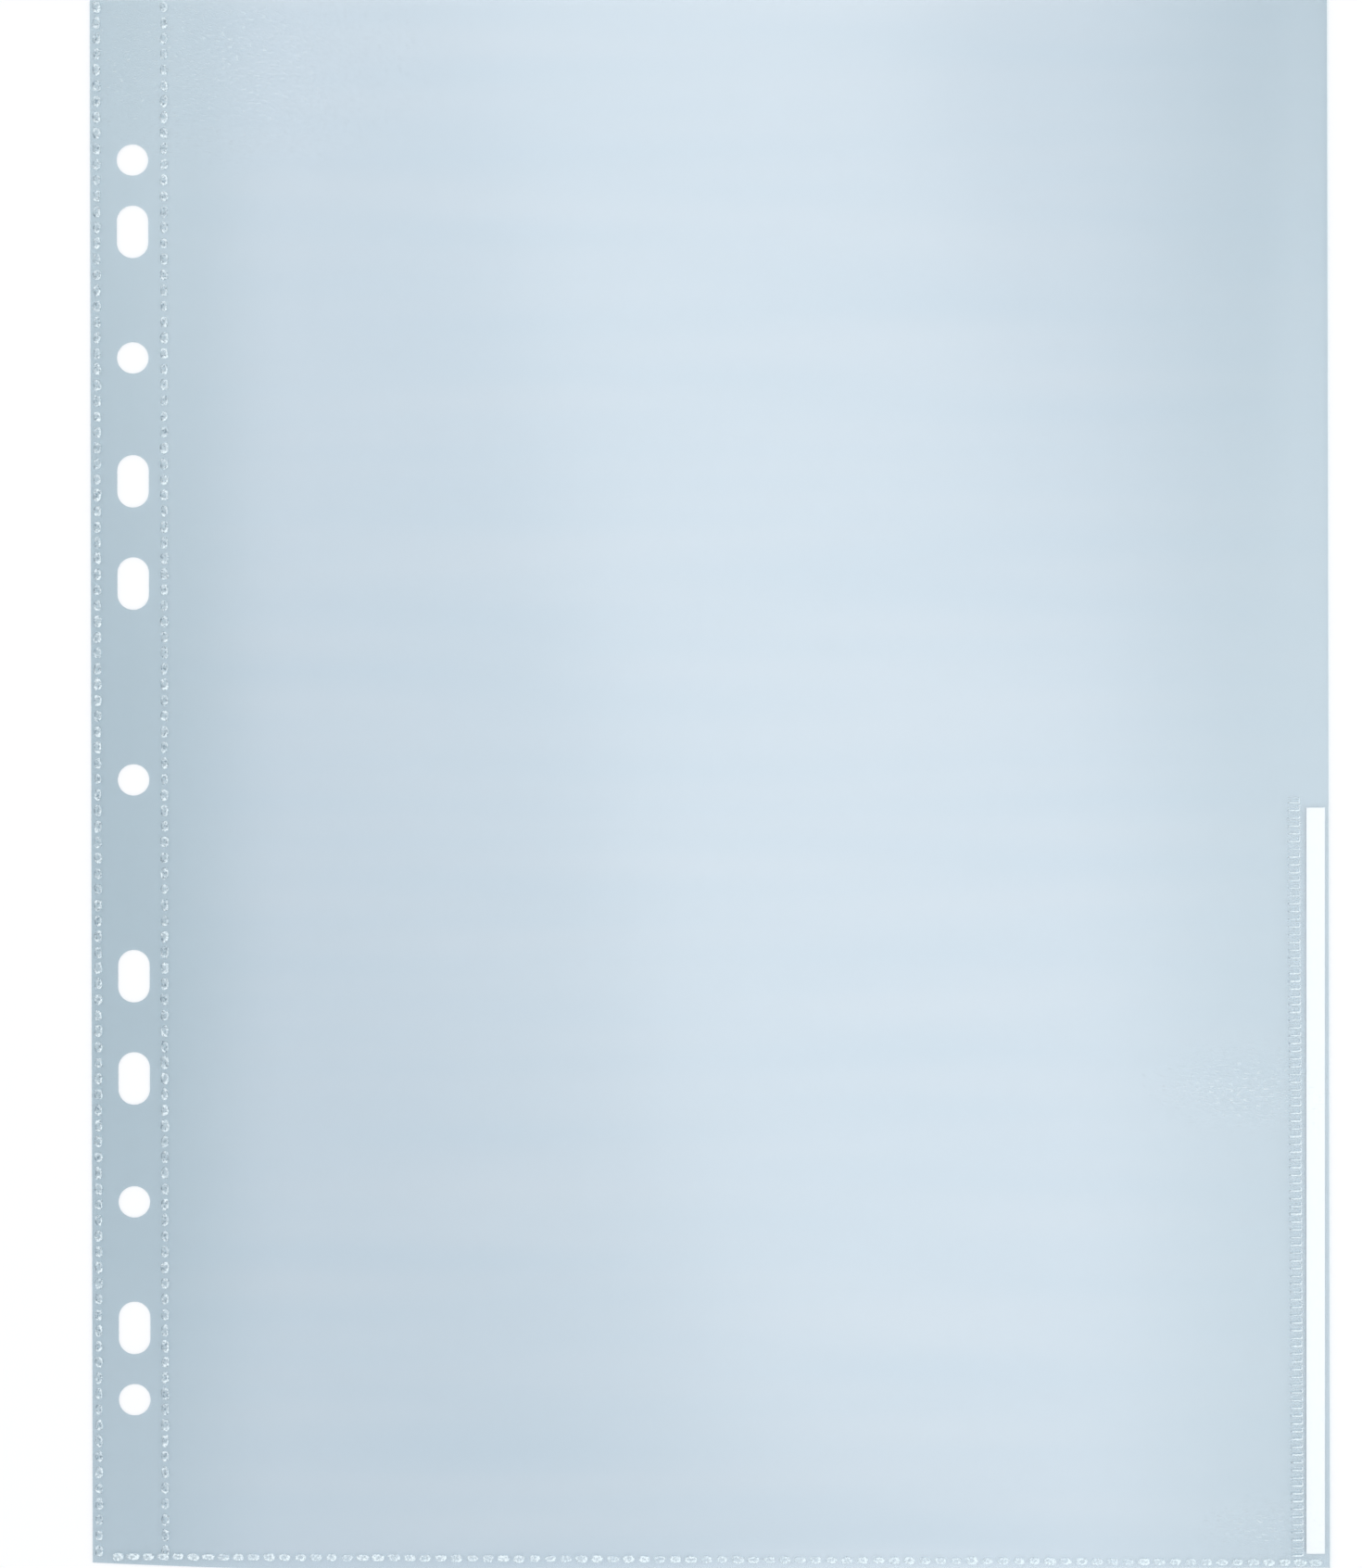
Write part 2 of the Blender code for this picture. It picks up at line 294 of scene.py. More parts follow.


# cast polypropylene film: clear and glossy, with faint die lines across the web, and patches of short white
# streaks that are painted glints
def filmMaterial(name, tint):
    material, tree = newMaterial(name)
    place = addNode(tree, "ShaderNodeTexCoord")
    stretch = addNode(tree, "ShaderNodeMapping", {"Scale": cellScale(*filmLook["dieLine"], 1)},
                      {"Vector": place.outputs["Object"]})
    lines = addNode(tree, "ShaderNodeTexNoise", {"Scale": 1.0, "Detail": 1.0},
                    {"Vector": stretch.outputs[0]}, noise_dimensions="2D")
    bump = addNode(tree, "ShaderNodeBump",
                   {"Strength": filmLook["dieStrength"], "Distance": filmLook["dieDepth"]},
                   {"Height": lines.outputs[0]})
    short = addNode(tree, "ShaderNodeMapping", {"Scale": cellScale(*filmLook["streak"], 1)},
                    {"Vector": place.outputs["Object"]})
    streaks = addNode(tree, "ShaderNodeTexNoise", {"Scale": 1.0, "Detail": 0.0},
                      {"Vector": short.outputs[0]}, noise_dimensions="2D")
    streak = addNode(tree, "ShaderNodeMapRange",
                     {"From Min": filmLook["streakFrom"], "From Max": filmLook["streakTo"]},
                     {"Value": streaks.outputs[0]})
    # the white streaks in these patches are painted glints
    paintedGlint = None
    for glintPatch in glintPatches:
        across, along = glintPatch["across"], glintPatch["along"]
        away = addNode(tree, "ShaderNodeMapping",
                       {"Location": (-glintPatch["x"] / across, -glintPatch["y"] / along, 0),
                        "Scale": (1 / across, 1 / along, 0)}, {"Vector": place.outputs["Object"]})
        reach = addNode(tree, "ShaderNodeVectorMath", {}, {0: away.outputs[0]}, operation="LENGTH")
        patch = addNode(tree, "ShaderNodeMapRange", {"From Min": 1.0, "From Max": 0.0, "To Max": glintPatch["white"]},
                        {"Value": reach.outputs["Value"]})
        if paintedGlint is not None:
            patch = addNode(tree, "ShaderNodeMath", {}, {0: paintedGlint.outputs[0], 1: patch.outputs[0]},
                            operation="MAXIMUM")
        paintedGlint = patch
    # milk share: the haze all over, plus the painted glints of the streaks in the patches
    amount = addNode(tree, "ShaderNodeMath", {2: filmLook["haze"]}, {0: streak.outputs[0], 1: paintedGlint.outputs[0]},
                     operation="MULTIPLY_ADD")
    facing = addNode(tree, "ShaderNodeLayerWeight", {"Blend": 0.5})
    edge = addNode(tree, "ShaderNodeMath", {1: 5.0}, {0: facing.outputs["Facing"]}, operation="POWER")
    mirror = addNode(tree, "ShaderNodeMath", {1: 1 - filmLook["gloss"], 2: filmLook["gloss"]},
                     {0: edge.outputs[0]}, operation="MULTIPLY_ADD")
    clear = addNode(tree, "ShaderNodeBsdfTransparent", {"Color": toLinear(tint)})
    milk = addNode(tree, "ShaderNodeBsdfDiffuse", {"Color": toLinear(filmLook["milk"])})
    gloss = addNode(tree, "ShaderNodeBsdfGlossy", {"Color": (1, 1, 1, 1), "Roughness": filmLook["roughness"]},
                    {"Normal": bump.outputs[0]})
    body = addNode(tree, "ShaderNodeMixShader", {},
                   {0: amount.outputs[0], 1: clear.outputs[0], 2: milk.outputs[0]})
    surface = addNode(tree, "ShaderNodeMixShader", {},
                      {0: mirror.outputs[0], 1: body.outputs[0], 2: gloss.outputs[0]})
    addNode(tree, "ShaderNodeOutputMaterial", {}, {"Surface": surface.outputs[0]})
    return material


webLook = dict(
    band=(83.3333 * mm, 6.25 * mm),    # length and width of a band from thick to thin
    # axis, from, to, value there and there: painted shade, mixed in towards the binding edge of the web,
    # less so at the lower end of that edge, and towards its fold
    shadeNearEdge=("X", -80 * mm, -114 * mm, 0.0, 1.0),
    shadeAlongEdge=("Y", -150 * mm, -40 * mm, 0.62, 1.0),
    shadeNearFold=("X", 66 * mm, 117 * mm, 0.0, 0.65),
)


# the film's inner face: light passes it with a faint change from thick to thin along the die lines,
# and its edge colour is painted shade, mixed in towards the binding edge and the fold
def innerMaterial(name, thin, thick, edge):
    material, tree = newMaterial(name)
    place = addNode(tree, "ShaderNodeTexCoord")
    stretch = addNode(tree, "ShaderNodeMapping", {"Scale": cellScale(*webLook["band"], 1)},
                      {"Vector": place.outputs["Object"]})
    lines = addNode(tree, "ShaderNodeTexNoise", {"Scale": 1.0, "Detail": 0.0},
                    {"Vector": stretch.outputs[0]}, noise_dimensions="2D")
    tone = addNode(tree, "ShaderNodeMix", {6: toLinear(thin), 7: toLinear(thick)}, {0: lines.outputs[0]},
                   data_type="RGBA")
    split = addNode(tree, "ShaderNodeSeparateXYZ", {}, {0: place.outputs["Object"]})
    # painted shade: its share rises towards the binding edge and towards the fold
    shadeNearEdge, shadeNearFold, shadeAlongEdge = [
        addNode(tree, "ShaderNodeMapRange", {"From Min": start, "From Max": end, "To Min": low, "To Max": high},
                {"Value": split.outputs[axis]}, interpolation_type="SMOOTHSTEP")
        for axis, start, end, low, high in (webLook["shadeNearEdge"], webLook["shadeNearFold"], webLook["shadeAlongEdge"])]
    edgeShade = addNode(tree, "ShaderNodeMath", {}, {0: shadeNearEdge.outputs[0], 1: shadeAlongEdge.outputs[0]},
                        operation="MULTIPLY")
    paintedShadeShare = addNode(tree, "ShaderNodeMath", {}, {0: edgeShade.outputs[0], 1: shadeNearFold.outputs[0]},
                   operation="MAXIMUM")
    shade = addNode(tree, "ShaderNodeMix", {7: toLinear(edge)}, {0: paintedShadeShare.outputs[0], 6: tone.outputs[2]},
                    data_type="RGBA")
    clear = addNode(tree, "ShaderNodeBsdfTransparent", {}, {"Color": shade.outputs[2]})
    addNode(tree, "ShaderNodeOutputMaterial", {}, {"Surface": clear.outputs[0]})
    return material


# the pale blue of the web is all on the back layer, so that the label shows white through the front one
clearOutside = filmMaterial("cast_polypropylene_clear_outside", "#feffff")
# the last colour of each inner material is painted shade towards the binding edge and the fold
clearInside = innerMaterial("cast_polypropylene_clear_inside", "#ffffff", "#fdfeff", "#feffff")
tintOutside = filmMaterial("cast_polypropylene_blue_outside", "#eff3f7")
tintInside = innerMaterial("cast_polypropylene_blue_inside", "#f2f6f8", "#f0f5f7", "#e2eaed")
frontSheet = filmSheet("front_film_sheet", frontHeight, True, clearOutside, clearInside)
backSheet = filmSheet("back_film_sheet", backHeight, False, tintOutside, tintInside)
for sheet, nodes in ((frontSheet, ("margin_front_film", "front_film", "edge_fold")),
                     (backSheet, ("margin_back_film", "back_film"))):
    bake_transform(sheet)
    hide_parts(*nodes)
    print(sheet.name, len(sheet.data.polygons), "faces")

weldLook = dict(
    grain=0.384615 * mm,    # width of a dent or a frosty grain
    grainStrength=0.3,
    grainDepth=0.05 * mm,
    frostLevel=0.9,         # milk at full frost, more or less by the spread of each weld
    frostFrom=0.3,          # the noise between these two gives that spread
    frostTo=0.7,
    pitFrom=0.44,           # a dent's painted shade starts where the noise falls below this
    pitTo=0.3,              # and is darkest here
    clear="#ffffff",
    # tint of the painted shade on the left flanks and in the dents
    dark="#587488",
    milk="#eefaff",
    gloss=0.04,
    roughness=0.2,
)


# polypropylene pressed hot by the welding wheel: stress turns it frosty white where it was squeezed most,
# with painted glints added on one side of each dot; the dark on the left flank and in small dents is painted
# shade; pitShare is how dark the painted shade in the dents is and spread how uneven the frost is
def weldMaterial(name, pitShare, spread):
    material, tree = newMaterial(name)
    place = addNode(tree, "ShaderNodeTexCoord")
    grain = addNode(tree, "ShaderNodeTexNoise", {"Scale": 1 / weldLook["grain"], "Detail": 1.0},
                    {"Vector": place.outputs["Object"]})
    bump = addNode(tree, "ShaderNodeBump",
                   {"Strength": weldLook["grainStrength"], "Distance": weldLook["grainDepth"]},
                   {"Height": grain.outputs[0]})
    # frost of the welds, with painted glints on one side of each dot
    frostAndGlint = addNode(tree, "ShaderNodeAttribute", attribute_name="frostAndGlint")
    # painted shade on the left flank of a dot and at the left end of a rung
    paintedShade = addNode(tree, "ShaderNodeAttribute", attribute_name="paintedShade")
    level = weldLook["frostLevel"]
    uneven = addNode(tree, "ShaderNodeMapRange",
                     {"From Min": weldLook["frostFrom"], "From Max": weldLook["frostTo"],
                      "To Min": level - spread, "To Max": level + spread}, {"Value": grain.outputs[0]})
    milkShare = addNode(tree, "ShaderNodeMath", {}, {0: frostAndGlint.outputs["Fac"], 1: uneven.outputs[0]},
                        operation="MULTIPLY", use_clamp=True)
    # painted shade in small dents, where the grain noise is low
    pits = addNode(tree, "ShaderNodeMapRange",
                   {"From Min": weldLook["pitFrom"], "From Max": weldLook["pitTo"], "To Max": pitShare},
                   {"Value": grain.outputs[0]})
    dark = addNode(tree, "ShaderNodeMath", {}, {0: paintedShade.outputs["Fac"], 1: pits.outputs[0]}, operation="MAXIMUM")
    tone = addNode(tree, "ShaderNodeMix", {6: toLinear(weldLook["clear"]), 7: toLinear(weldLook["dark"])},
                   {0: dark.outputs[0]}, data_type="RGBA")
    facing = addNode(tree, "ShaderNodeLayerWeight", {"Blend": 0.5})
    edge = addNode(tree, "ShaderNodeMath", {1: 5.0}, {0: facing.outputs["Facing"]}, operation="POWER")
    mirror = addNode(tree, "ShaderNodeMath", {1: 1 - weldLook["gloss"], 2: weldLook["gloss"]},
                     {0: edge.outputs[0]}, operation="MULTIPLY_ADD")
    clear = addNode(tree, "ShaderNodeBsdfTransparent", {}, {"Color": tone.outputs[2]})
    milk = addNode(tree, "ShaderNodeBsdfDiffuse", {"Color": toLinear(weldLook["milk"])},
                   {"Normal": bump.outputs[0]})
    gloss = addNode(tree, "ShaderNodeBsdfGlossy", {"Color": (1, 1, 1, 1), "Roughness": weldLook["roughness"]},
                    {"Normal": bump.outputs[0]})
    body = addNode(tree, "ShaderNodeMixShader", {},
                   {0: milkShare.outputs[0], 1: clear.outputs[0], 2: milk.outputs[0]})
    surface = addNode(tree, "ShaderNodeMixShader", {},
                      {0: mirror.outputs[0], 1: body.outputs[0], 2: gloss.outputs[0]})
    addNode(tree, "ShaderNodeOutputMaterial", {}, {"Surface": surface.outputs[0]})
    return material


def setAttribute(piece, name, values):
    values = np.clip(values, 0, 1).ravel().astype(np.float32)
    piece.data.attributes.new(name, "FLOAT", "POINT").data.foreach_set("value", values)


dentedFilm = weldMaterial("hot_pressed_polypropylene_dented", 0.45, 0.65)
frostedFilm = weldMaterial("hot_pressed_polypropylene_frosted", 0.06, 0.5)
creasedFilm = weldMaterial("hot_pressed_polypropylene_creased", 0.0, 0.25)
seamTop = 2 * film["thickness"] + film["layerGap"]

dots = dict(
    rise=0.22 * mm,
    seat=0.06 * mm,        # how far a dot reaches into the film below it
    corner=3.2,            # 2 is an ellipse, more is squarer
    wallShare=0.3,         # share of the half width that the sloping wall takes
    dishDepth=0.45,        # of the middle, as a share of the rise
    dishReach=0.75,        # as a share of the half width
    angles=12,
    rings=(1.0, 0.84, 0.62, 0.3),       # from the foot of the wall to the middle
    ringShade=(0.1, 1.0, 0.15, 0.0),    # how dark the painted shade on the flank is at each ring
    ringFill=(0.0, 0.0, 1.0, 1.0),      # how far the middle's frost reaches
    ringFrost=(0.5, 1.0, 0.5),          # and the rim's frost and painted glints, at all rings but the last
    lastFrost=0.2,
    shadeNarrow=3,
    sizeSpread=0.06,
    raggedSpread=0.07,
    leanSpread=0.3,
    riseSpread=0.15,
    turnSpread=0.35,       # how far the frost, its painted glints and the painted shade turn about a dot, in radians
    frostRange=(0.8, 1.3),     # from dot to dot
    patchRange=(0.6, 1.2),     # and round the rim of one
    shadeRange=(0.4, 1.0),
    sharpDegrees=60,
)
longDots = dict(           # the two long rows get painted glints below, above and right
    half=(0.75 * mm, 1.1 * mm),
    lobes=((-90, 1.1, 2.0), (90, 0.7, 3.0), (0, 0.45, 2.0)),    # painted glints on the frost: middle angle, weight and how narrow
    even=0.12,             # frost all round the rim
    fill=0.13,             # frost over the middle of a dot
    material=dentedFilm,
    pitch=3.05 * mm,
    first=3.72 * mm,       # first dot above the lower edge
    last=1.3 * mm,         # the row ends this far below the mouth
    innerShift=-0.385 * mm,    # the inner row stands this far from the middle of its weld
    innerLean=0.0009,          # and leans to the left towards its lower end
)
lowDots = dict(            # the bottom row is frosty nearly all round, with a painted glint to the lower right
    half=(1.15 * mm, 0.71 * mm),
    lobes=((-45, 0.5, 1.0),),
    even=0.7,
    fill=0.38,
    material=frostedFilm,
    pitch=3.024 * mm,
    counted=-100.95 * mm,  # the dot from which the others are counted
    closer=0.109 * mm,     # left of the dot with the next number each pitch is this much shorter
    closerUntil=4,
    y=1.87 * mm,           # the row above the lower edge, at the sheet's middle
    slope=-0.0070,         # it runs a little downhill to the right
    inset=1.1 * mm,        # a dot's middle keeps this far from the ends of its weld
)


# a weld dot on a polar grid: its outline is a ragged superellipse, its wall rises smoothly to a rim and
# the middle is dished; every dot gets its own size and lopsided rim, the frost is an even share plus
# painted glints, powers of the cosine about each lobe's angle, and the painted shade on the left flank is a power
# of the cosine too
def dotRow(name, centres, row, body, node):
    count, around = len(centres), dots["angles"]
    share = np.array(dots["rings"])
    angle = np.linspace(0, 2 * np.pi, around, endpoint=False)
    c, s = np.cos(angle), np.sin(angle)
    outline = (np.abs(c) ** dots["corner"] + np.abs(s) ** dots["corner"]) ** (-1 / dots["corner"])
    size = rng.normal(1.0, dots["sizeSpread"], (count, 1, 1, 2))
    ragged = outline * rng.normal(1.0, dots["raggedSpread"], (count, 1, around))
    ring = np.stack([ragged * c, ragged * s], -1)
    flat = share[None, :, None, None] * ring * np.array(row["half"]) * size
    wall = smooth((1 - share) / dots["wallShare"])
    dish = dots["dishDepth"] * np.clip(1 - (share / dots["dishReach"]) ** 2, 0, 1)
    leanX, leanY = rng.normal(0, dots["leanSpread"], (2, count, 1, 1))
    lean = leanX * c + leanY * s
    height = dots["rise"] * rng.normal(1.0, dots["riseSpread"], (count, 1, 1))
    rise = height * ((wall - dish)[None, :, None] + (wall * share)[None, :, None] * lean)
    z = seamTop + np.where(share[None, :, None] == 1.0, -dots["seat"], rise)
    points = np.concatenate([flat + centres[:, None, None, :], z[..., None]], -1)
    middle = points.mean(axis=2)[:, -1:, :]
    points = np.concatenate([points.reshape(count, -1, 3), middle], axis=1)
    perDot = len(share) * around + 1
    innermost = (len(share) - 1) * around
    dotFaces = gridQuads(len(share), around, wrapped=True).tolist()
    dotFaces += [[innermost + i, innermost + (i + 1) % around, perDot - 1] for i in range(around)]
    dotFaces.append(list(range(around))[::-1])
    faces = [[i + dot * perDot for i in face] for dot in range(count) for face in dotFaces]
    piece = meshPiece(name, points.reshape(-1, 3), faces, row["material"], clearInside)
    smoothFaces(piece.data, dots["sharpDegrees"])

    # the last face of each dot is its underside, fused to the film
    under = np.zeros((count, len(dotFaces)), np.int32)
    under[:, -1] = 1
    piece.data.polygons.foreach_set("material_index", under.ravel())
    strength = rng.uniform(*dots["frostRange"], (count, 1, 1))
    wobble = rng.normal(0, dots["turnSpread"], (count, 1, 1))
    frostAndGlint = np.full((count, 1, around), row["even"])
    # the lobes are painted glints on the frost
    for middleAngle, weight, narrow in row["lobes"]:
        frostAndGlint = frostAndGlint + weight * np.clip(np.cos(angle - math.radians(middleAngle) - wobble), 0, 1) ** narrow
    ringFrost = np.array([*dots["ringFrost"], dots["lastFrost"] * row["even"]])[None, :, None]
    ringFill = np.array(dots["ringFill"])[None, :, None] * row["fill"]
    ringShade = np.array(dots["ringShade"])[None, :, None] * (1 - row["even"])
    frostAndGlint = strength * (ringFill + ringFrost * frostAndGlint * rng.uniform(*dots["patchRange"], (count, 1, around)))
    # painted shade on the left flank of each dot
    paintedShade = ringShade * np.clip(-np.cos(angle - wobble), 0, 1) ** dots["shadeNarrow"]
    paintedShade = paintedShade * rng.uniform(*dots["shadeRange"], (count, 1, 1))
    for attribute, values, middleValue in (("frostAndGlint", frostAndGlint, row["fill"]), ("paintedShade", paintedShade, 0.0)):
        middleValues = np.full((count, 1), middleValue)
        setAttribute(piece, attribute, np.concatenate([values.reshape(count, -1), middleValues], axis=1))
    if node is None:    # dots across the crease are attached to neither body, as the film sheets are not
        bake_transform(piece)
    else:
        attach(piece, body)
        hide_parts(node)
    print(name, count, "dots")


# a long row stands over the middle of its weld, shifted and leaning a little
def longRow(name, box, shift, lean, node):
    ys = np.arange(bottom + longDots["first"], top - longDots["last"], longDots["pitch"])
    xs = (box[0].x + box[1].x) / 2 + shift + lean * ys
    dotRow(name, np.stack([xs, ys], -1), longDots, "binding_margin", node)


# the dots of the bottom row whose middles lie between two places along X
def bottomRow(name, low, high, body, node):
    number = np.arange(-20, 100)
    xs = lowDots["counted"] + lowDots["pitch"] * number
    xs = xs + lowDots["closer"] * np.clip(lowDots["closerUntil"] - number, 0, None)
    xs = xs[(xs > low) & (xs < high)]
    ys = bottom + lowDots["y"] + lowDots["slope"] * xs
    dotRow(name, np.stack([xs, ys], -1), lowDots, body, node)


pageFrom, pageTo = bottomWeldBox[0].x + lowDots["inset"], bottomWeldBox[1].x - lowDots["inset"]
marginFrom, marginTo = marginBottomBox[0].x + lowDots["inset"], marginBottomBox[1].x - lowDots["inset"]
longRow("outer_weld_dots", outerWeldBox, 0.0, 0.0, "outer_margin_weld")
longRow("inner_weld_dots", innerWeldBox, longDots["innerShift"], longDots["innerLean"], "inner_margin_weld")
bottomRow("bottom_weld_dots", pageFrom, pageTo, "pocket_page", "bottom_weld")
bottomRow("margin_bottom_dots", marginFrom, marginTo, "binding_margin", "margin_bottom_weld")

rungs = dict(
    pitch=1.502 * mm,
    first=-0.06 * mm,      # first rung from the lower end of its weld
    last=0.8 * mm,         # and the upper end stays free by this much
    length=2.25 * mm,
    hook=0.7 * mm,         # the right end turns up by this much
    halfWidth=0.15 * mm,
    rise=0.17 * mm,
    seat=0.06 * mm,
    skew=-0.003,           # the row leans to the right towards its lower end
    faint=(0.42, 0.71),    # faint creases between two rungs, as shares of the pitch
    faintShare=0.28,       # and their size and frost beside a rung's
    spread=0.15,
    pathSteps=8,
    turnSteps=5,
    frostStart=0.3,        # frost at the left end of a rung
    frostFull=0.3,         # it is full from this share of the path on
    hookFrom=0.7,          # and fades from here
    hookFade=0.2,          # over this share
    hookLoss=0.75,         # by this much
    shadeReach=0.15,       # the painted shade is at the left end
    frostRange=(0.85, 1.3),
    shadeRange=(0.0, 0.6),
    sharpDegrees=60,
)


# a rung is a half-round ridge carried along a path that runs across the weld and turns up at its right end;
# the faint creases between the rungs are the same ridge, made smaller
def ladder(name, material):
    main = np.arange(ladderBox[0].y + rungs["first"], ladderBox[1].y - rungs["last"], rungs["pitch"])
    ys = np.concatenate([main] + [main + share * rungs["pitch"] for share in rungs["faint"]])
    weight = np.where(np.arange(len(ys)) < len(main), 1.0, rungs["faintShare"])[:, None, None]
    x0 = ladderBox[0].x + rungs["skew"] * (ys - main.mean())
    bends = np.array([[0, 0], [0.5, 0], [1.0, 0], [1.0, 1.0]]) * [rungs["length"], rungs["hook"]]
    step = np.linspace(0, len(bends) - 1, rungs["pathSteps"])
    path = np.stack([np.interp(step, np.arange(len(bends)), bends[:, i]) for i in (0, 1)], -1)
    tangent = np.gradient(path, axis=0)
    tangent /= np.linalg.norm(tangent, axis=1, keepdims=True)
    normal = np.stack([-tangent[:, 1], tangent[:, 0]], -1)
    turn = np.linspace(0, np.pi, rungs["turnSteps"])
    width, rise = np.cos(turn) * rungs["halfWidth"], np.sin(turn) * rungs["rise"]
    flat = path[:, None, :] + normal[:, None, :] * width[None, :, None]
    filmTop = frontHeight(x0, ys) + film["thickness"]
    count, n, m = len(ys), len(path), len(turn)
    widen, lift = weight * rng.normal(1, rungs["spread"], (2, count, 1, 1))
    points = np.empty((count, n, m, 3))
    points[..., 0] = x0[:, None, None] + flat[None, ..., 0]
    points[..., 1] = ys[:, None, None] + flat[None, ..., 1] * widen
    points[..., 2] = filmTop[:, None, None] - rungs["seat"] * weight + rise[None, None, :] * lift
    rungFaces = gridQuads(n, m).tolist()
    rungFaces += [[i * m, (i + 1) * m, (i + 2) * m - 1, (i + 1) * m - 1] for i in range(n - 1)]
    rungFaces += [list(range(m))[::-1], list(range((n - 1) * m, n * m))]
    faces = [[i + rung * n * m for i in face] for rung in range(count) for face in rungFaces]
    piece = meshPiece(name, points.reshape(-1, 3), faces, material)
    smoothFaces(piece.data, rungs["sharpDegrees"])
    along = np.linspace(0, 1, n)[None, :, None] * np.ones((count, 1, m))
    fade = rungs["frostStart"] + (1 - rungs["frostStart"]) * smooth(along / rungs["frostFull"])
    fade = fade * (1 - rungs["hookLoss"] * smooth((along - rungs["hookFrom"]) / rungs["hookFade"]))
    # painted shade at the left end of each rung
    paintedShade = 1 - smooth(along / rungs["shadeReach"])
    setAttribute(piece, "frostAndGlint", fade * weight * rng.uniform(*rungs["frostRange"], (count, 1, 1)))
    setAttribute(piece, "paintedShade", paintedShade * weight * rng.uniform(*rungs["shadeRange"], (count, 1, 1)))
    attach(piece, "pocket_page")
    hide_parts("label_weld")
    print(name, len(main), "rungs")


ladder("label_weld_rungs", creasedFilm)
bottomRow("crease_weld_dots", marginTo, pageFrom, None, None)

label = dict(
    cornerRadius=0.05 * mm,
    cornerSteps=4,
    stations=60,
    wave=0.03 * mm,
    waveLength=23 * mm,    # over one radian of the wave
    lean=0.0019,           # the card sits a little askew in its channel
    sharpDegrees=50,
    fibre=(0.555556 * mm, 2.0 * mm, 0.555556 * mm),    # drawn coarser than paper fibres, so that it shows
    fibreStrength=0.2,
    fibreDepth=0.03 * mm,
    shade="#f3f7fb",
    white="#fcfdff",
    roughness=0.7,
)


# uncoated white card, cut to a strip: matt, with a faint fibre grain
def cardMaterial(name):
    material, tree = newMaterial(name)
    place = addNode(tree, "ShaderNodeTexCoord")
    fibre = addNode(tree, "ShaderNodeMapping", {"Scale": cellScale(*label["fibre"])},
                    {"Vector": place.outputs["Object"]})
    grain = addNode(tree, "ShaderNodeTexNoise", {"Scale": 1.0, "Detail": 3.0}, {"Vector": fibre.outputs[0]})
    tone = addNode(tree, "ShaderNodeMix", {6: toLinear(label["shade"]), 7: toLinear(label["white"])},
                   {0: grain.outputs[0]}, data_type="RGBA")
    bump = addNode(tree, "ShaderNodeBump", {"Strength": label["fibreStrength"], "Distance": label["fibreDepth"]},
                   {"Height": grain.outputs[0]})
    shader = addNode(tree, "ShaderNodeBsdfPrincipled", {"Roughness": label["roughness"]},
                     {"Base Color": tone.outputs[2], "Normal": bump.outputs[0]})
    addNode(tree, "ShaderNodeOutputMaterial", {}, {"Surface": shader.outputs[0]})
    return material


# the label is a rounded rectangle carried along Y with a faint sine wave
def labelStrip(name, material):
    low, high = np.array(labelBox[0]), np.array(labelBox[1])
    centre, half = (low + high) / 2, (high - low) / 2
    corner = np.linspace(0, np.pi / 2, label["cornerSteps"])
    radius = label["cornerRadius"]
    profile = np.concatenate([
        np.stack([sideX * (half[0] - radius) + radius * np.cos(corner + start),
                  sideZ * (half[2] - radius) + radius * np.sin(corner + start)], -1)
        for start, sideX, sideZ in ((0, 1, 1), (np.pi / 2, -1, 1), (np.pi, -1, -1), (1.5 * np.pi, 1, -1))])
    y = np.linspace(low[1], high[1], label["stations"])
    wave = label["wave"] * np.sin(y / label["waveLength"])
    n, m = len(y), len(profile)
    points = np.empty((n, m, 3))
    points[..., 0] = centre[0] + profile[None, :, 0] + label["lean"] * (y - centre[1])[:, None]
    points[..., 1] = y[:, None]
    points[..., 2] = centre[2] + profile[None, :, 1] + wave[:, None]
    faces = gridQuads(n, m, wrapped=True)[:, ::-1].tolist()
    faces += [list(range(m)), list(range((n - 1) * m, n * m))[::-1]]
    piece = meshPiece(name, points.reshape(-1, 3), faces, material)
    smoothFaces(piece.data, label["sharpDegrees"])
    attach(piece, "label_strip")
    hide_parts("index_label")
    print(name, n, "stations")


labelStrip("index_label_card", cardMaterial("uncoated_card_white"))

# floor, light and camera
stage = dict(
    floorDrop=0.03 * mm,
    floorReach=12.0,
    floorColour="#fdfdfe",
    floorGrain=2.5 * mm,
    grainStrength=0.02,
    grainDepth=0.1 * mm,
    worldColour="#fdfeff",
    worldStrength=0.75,
    cameraLens=100.0,
    sensor=36.0,
    pixelsPerMm=5.5725,
    imageHeight=1692,
    cameraX=-5.8 * mm,
    cameraRoll=math.radians(-0.11),
    filmBounces=32,        # a ray crosses four faces of film each way, and two more at a dot
)

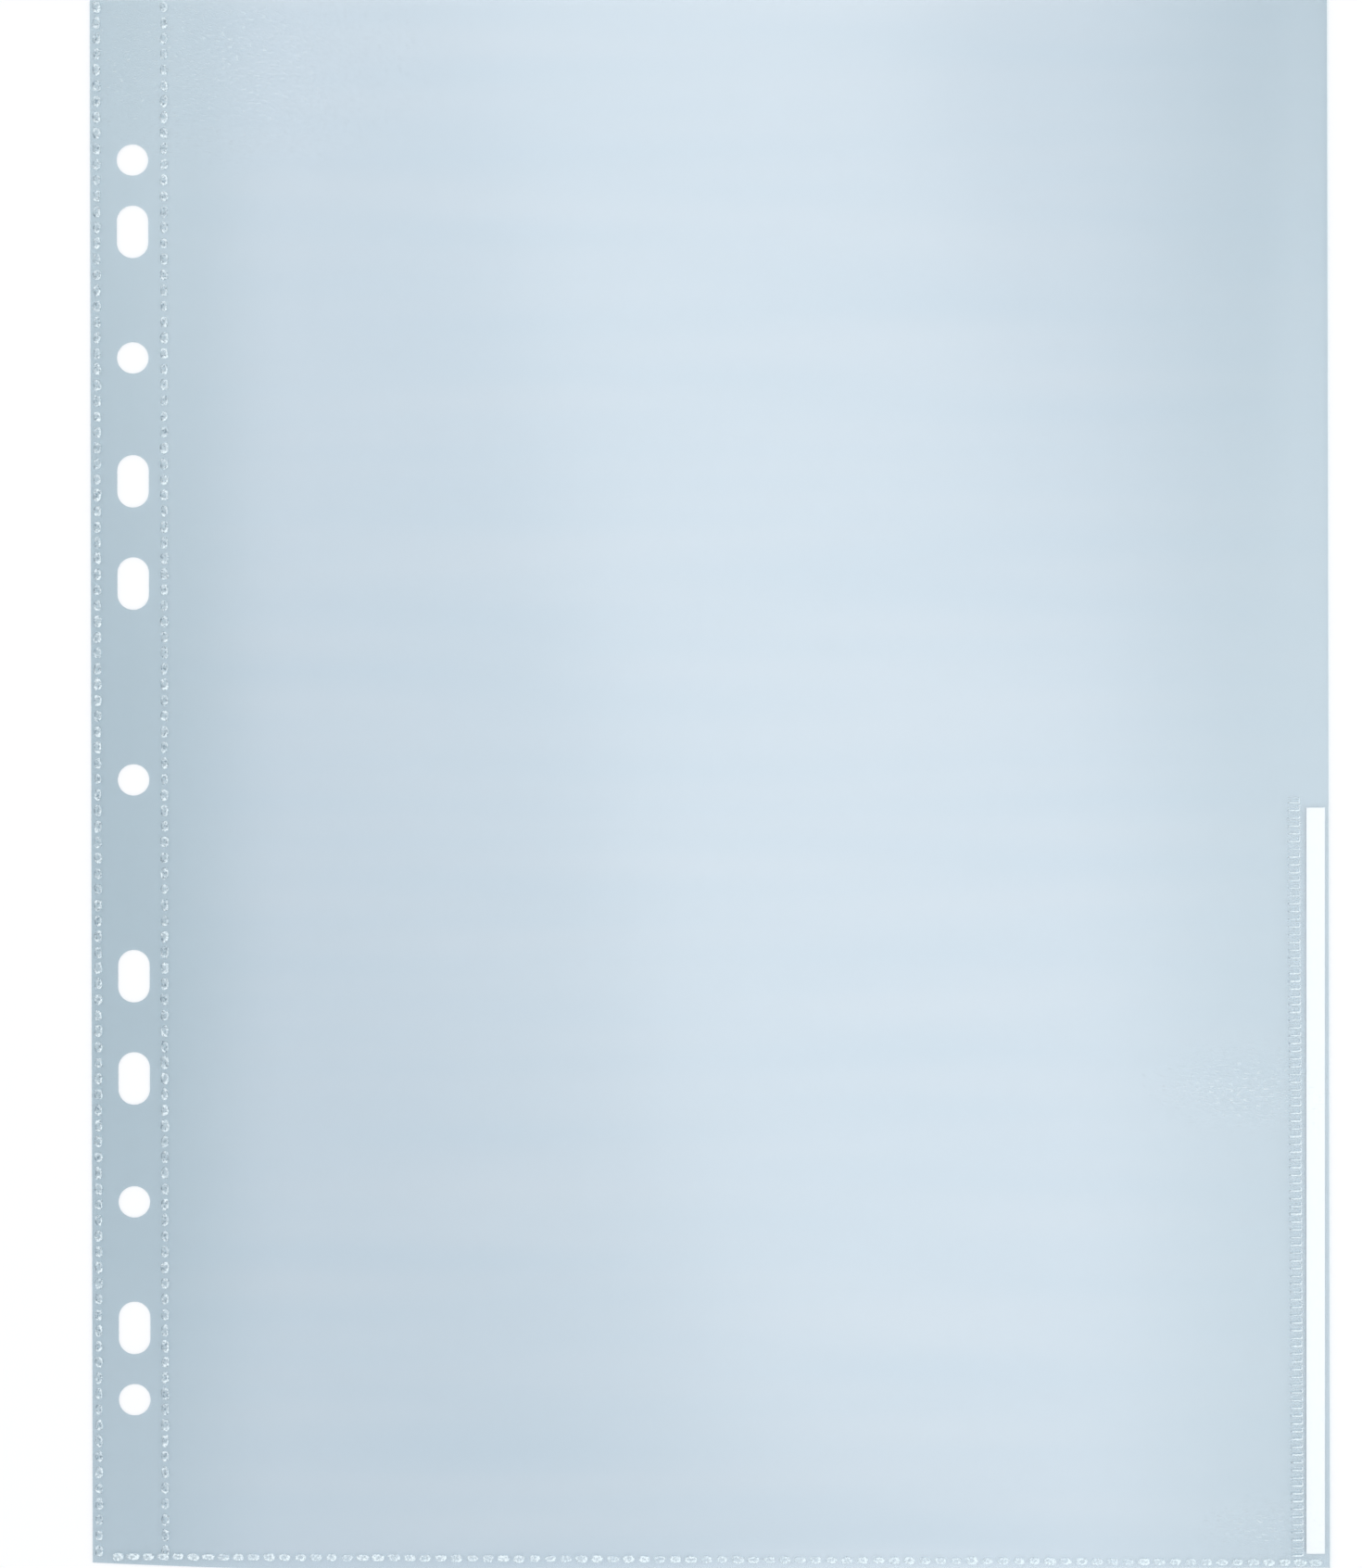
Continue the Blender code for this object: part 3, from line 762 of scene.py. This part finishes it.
# board painted with a roller: matt and pale, with a hint of stipple
floorMaterial, tree = newMaterial("painted_board_pale")
place = addNode(tree, "ShaderNodeTexCoord")
grain = addNode(tree, "ShaderNodeTexNoise", {"Scale": 1 / stage["floorGrain"]}, {"Vector": place.outputs["Object"]})
bump = addNode(tree, "ShaderNodeBump", {"Strength": stage["grainStrength"], "Distance": stage["grainDepth"]},
               {"Height": grain.outputs[0]})
paint = addNode(tree, "ShaderNodeBsdfDiffuse", {"Color": toLinear(stage["floorColour"])},
                {"Normal": bump.outputs[0]})
addNode(tree, "ShaderNodeOutputMaterial", {}, {"Surface": paint.outputs[0]})
corners = np.array([[-1, -1, 0], [1, -1, 0], [1, 1, 0], [-1, 1, 0]]) * stage["floorReach"]
floor = meshPiece("floor", corners - [0, 0, stage["floorDrop"]], [[0, 1, 2, 3]], floorMaterial)

world = bpy.data.worlds.new("studio")
world.use_nodes = True
world.node_tree.nodes.clear()
sky = addNode(world.node_tree, "ShaderNodeBackground",
              {"Color": toLinear(stage["worldColour"]), "Strength": stage["worldStrength"]})
addNode(world.node_tree, "ShaderNodeOutputWorld", {}, {"Surface": sky.outputs[0]})
bpy.context.scene.world = world

lamps = [    # a lamp with no turn of its own looks at the middle of the sheet
    dict(name="overhead_softbox", place=(0.097, 0.065, 1.15), turn=23, size=(0.54, 0.99), power=1.77),
    dict(name="right_softbox", place=(1.6, -0.7, 1.1), turn=None, size=(2.0, 1.5), power=9.2),
    dict(name="left_softbox", place=(-1.6, 0.7, 1.1), turn=None, size=(2.0, 1.5), power=7.9),
]
for lamp in lamps:
    data = bpy.data.lights.new(lamp["name"], "AREA")
    data.shape = "RECTANGLE"
    data.size, data.size_y = lamp["size"]
    data.energy = lamp["power"]
    light = bpy.data.objects.new(lamp["name"], data)
    light.location = lamp["place"]
    if lamp["turn"] is None:
        light.rotation_euler = (-Vector(lamp["place"])).to_track_quat("-Z", "Y").to_euler()
    else:
        light.rotation_euler = (0, 0, math.radians(lamp["turn"]))
    bpy.context.scene.collection.objects.link(light)

camera = bpy.data.cameras.new("photo_camera")
camera.lens = stage["cameraLens"]
camera.sensor_width = stage["sensor"]
camera.clip_start, camera.clip_end = 0.01, 50.0
eye = bpy.data.objects.new("photo_camera", camera)
frameHeight = stage["imageHeight"] / stage["pixelsPerMm"] * mm    # the sensor's width spans it
eye.location = (stage["cameraX"], 0.0, frameHeight * stage["cameraLens"] / stage["sensor"])
eye.rotation_euler = (0, 0, stage["cameraRoll"])
bpy.context.scene.collection.objects.link(eye)
bpy.context.scene.camera = eye
bpy.context.scene.view_settings.view_transform = "Standard"
bpy.context.scene.cycles.transparent_max_bounces = stage["filmBounces"]
print("stage, lamps and camera set")
